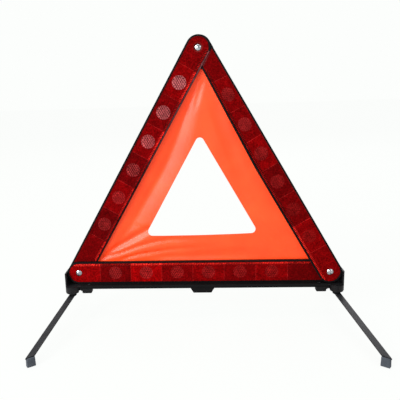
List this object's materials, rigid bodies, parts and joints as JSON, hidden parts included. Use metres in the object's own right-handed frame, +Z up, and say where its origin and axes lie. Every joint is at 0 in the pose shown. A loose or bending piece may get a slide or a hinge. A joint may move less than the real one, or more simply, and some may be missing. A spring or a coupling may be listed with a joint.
{
  "type": "warning triangle",
  "caption": "Folding roadside warning triangle: red reflector arms round an orange cloth panel with a triangular opening, on a base rail with swing-out legs and rubber feet.",
  "frame": {"origin": "on the ground, at the centre of the four feet", "axes": "+X to the right along the base rail, +Y to the back, +Z up; the reflectors face -Y"},
  "size_m": [0.4746, 0.3376, 0.4303],
  "materials": {
    "black_plastic": "moulded satin",
    "reflector_red": "clear red prismatic lens",
    "cloth_orange": "fluorescent woven cloth",
    "rail_black": "black coated",
    "leg_grey": "dark grey coated strip",
    "rivet_steel": "bright plated",
    "washer_steel": "zinc plated",
    "washer_nylon": "moulded",
    "foot_rubber": "matt"
  },
  "bodies": {
    "base": {"base_rail": "rail_black", "left_end_bracket": "black_plastic", "right_end_bracket": "black_plastic", "bottom_arm_housing": "black_plastic", "bottom_arm_lens": "reflector_red", "left_corner_rivet": "rivet_steel", "right_corner_rivet": "rivet_steel", "left_corner_washer": "washer_nylon", "right_corner_washer": "washer_nylon", "left_corner_burr": "washer_steel", "rail_screws": "washer_steel", "bracket_screws": "washer_steel", "leg_pivot_rivets": "washer_steel", "leg_pivot_washers": "washer_steel", "fluorescent_panel": "cloth_orange"},
    "left_arm": {"left_arm_housing": "black_plastic", "left_arm_lens": "reflector_red", "top_snap_stud": "rivet_steel", "top_stud_ring": "washer_steel"},
    "right_arm": {"right_arm_housing": "black_plastic", "right_arm_lens": "reflector_red", "right_arm_snap_lug": "black_plastic"},
    "leg_front_left": {"front_left_leg": "leg_grey", "front_left_foot": "foot_rubber"},
    "leg_front_right": {"front_right_leg": "leg_grey", "front_right_foot": "foot_rubber"},
    "leg_rear_left": {"rear_left_leg": "leg_grey", "rear_left_foot": "foot_rubber"},
    "leg_rear_right": {"rear_right_leg": "leg_grey", "rear_right_foot": "foot_rubber"}
  },
  "joints": [
    {"name": "left_arm_fold", "type": "hinge", "parent": "base", "child": "left_arm", "pos_m": [-0.1975, 0.0058, 0.07], "axis": [-0.0037, 1, 0.0064], "range_deg": [0, 60], "deforming": ["fluorescent_panel"]},
    {"name": "right_arm_fold", "type": "hinge", "parent": "base", "child": "right_arm", "pos_m": [0.1975, -0.0058, 0.07], "axis": [0.0037, -1, 0.0064], "range_deg": [0, 60], "deforming": ["right_arm_snap_lug"]},
    {"name": "front_left_leg_swing", "type": "hinge", "parent": "base", "child": "leg_front_left", "pos_m": [-0.208, -0.0096, 0.037], "axis": [0, -0.1532, 0.9882], "range_deg": [0, 98.4]},
    {"name": "front_right_leg_swing", "type": "hinge", "parent": "base", "child": "leg_front_right", "pos_m": [0.208, -0.0096, 0.037], "axis": [0, 0.1532, -0.9882], "range_deg": [0, 98.4]},
    {"name": "rear_left_leg_swing", "type": "hinge", "parent": "base", "child": "leg_rear_left", "pos_m": [-0.208, 0.0096, 0.037], "axis": [0, -0.1532, -0.9882], "range_deg": [0, 98.4]},
    {"name": "rear_right_leg_swing", "type": "hinge", "parent": "base", "child": "leg_rear_right", "pos_m": [0.208, 0.0096, 0.037], "axis": [0, 0.1532, 0.9882], "range_deg": [0, 98.4]}
  ],
  "couplings": [
    {"joint": "right_arm_fold", "follows": "left_arm_fold", "ratio": 1}
  ]
}
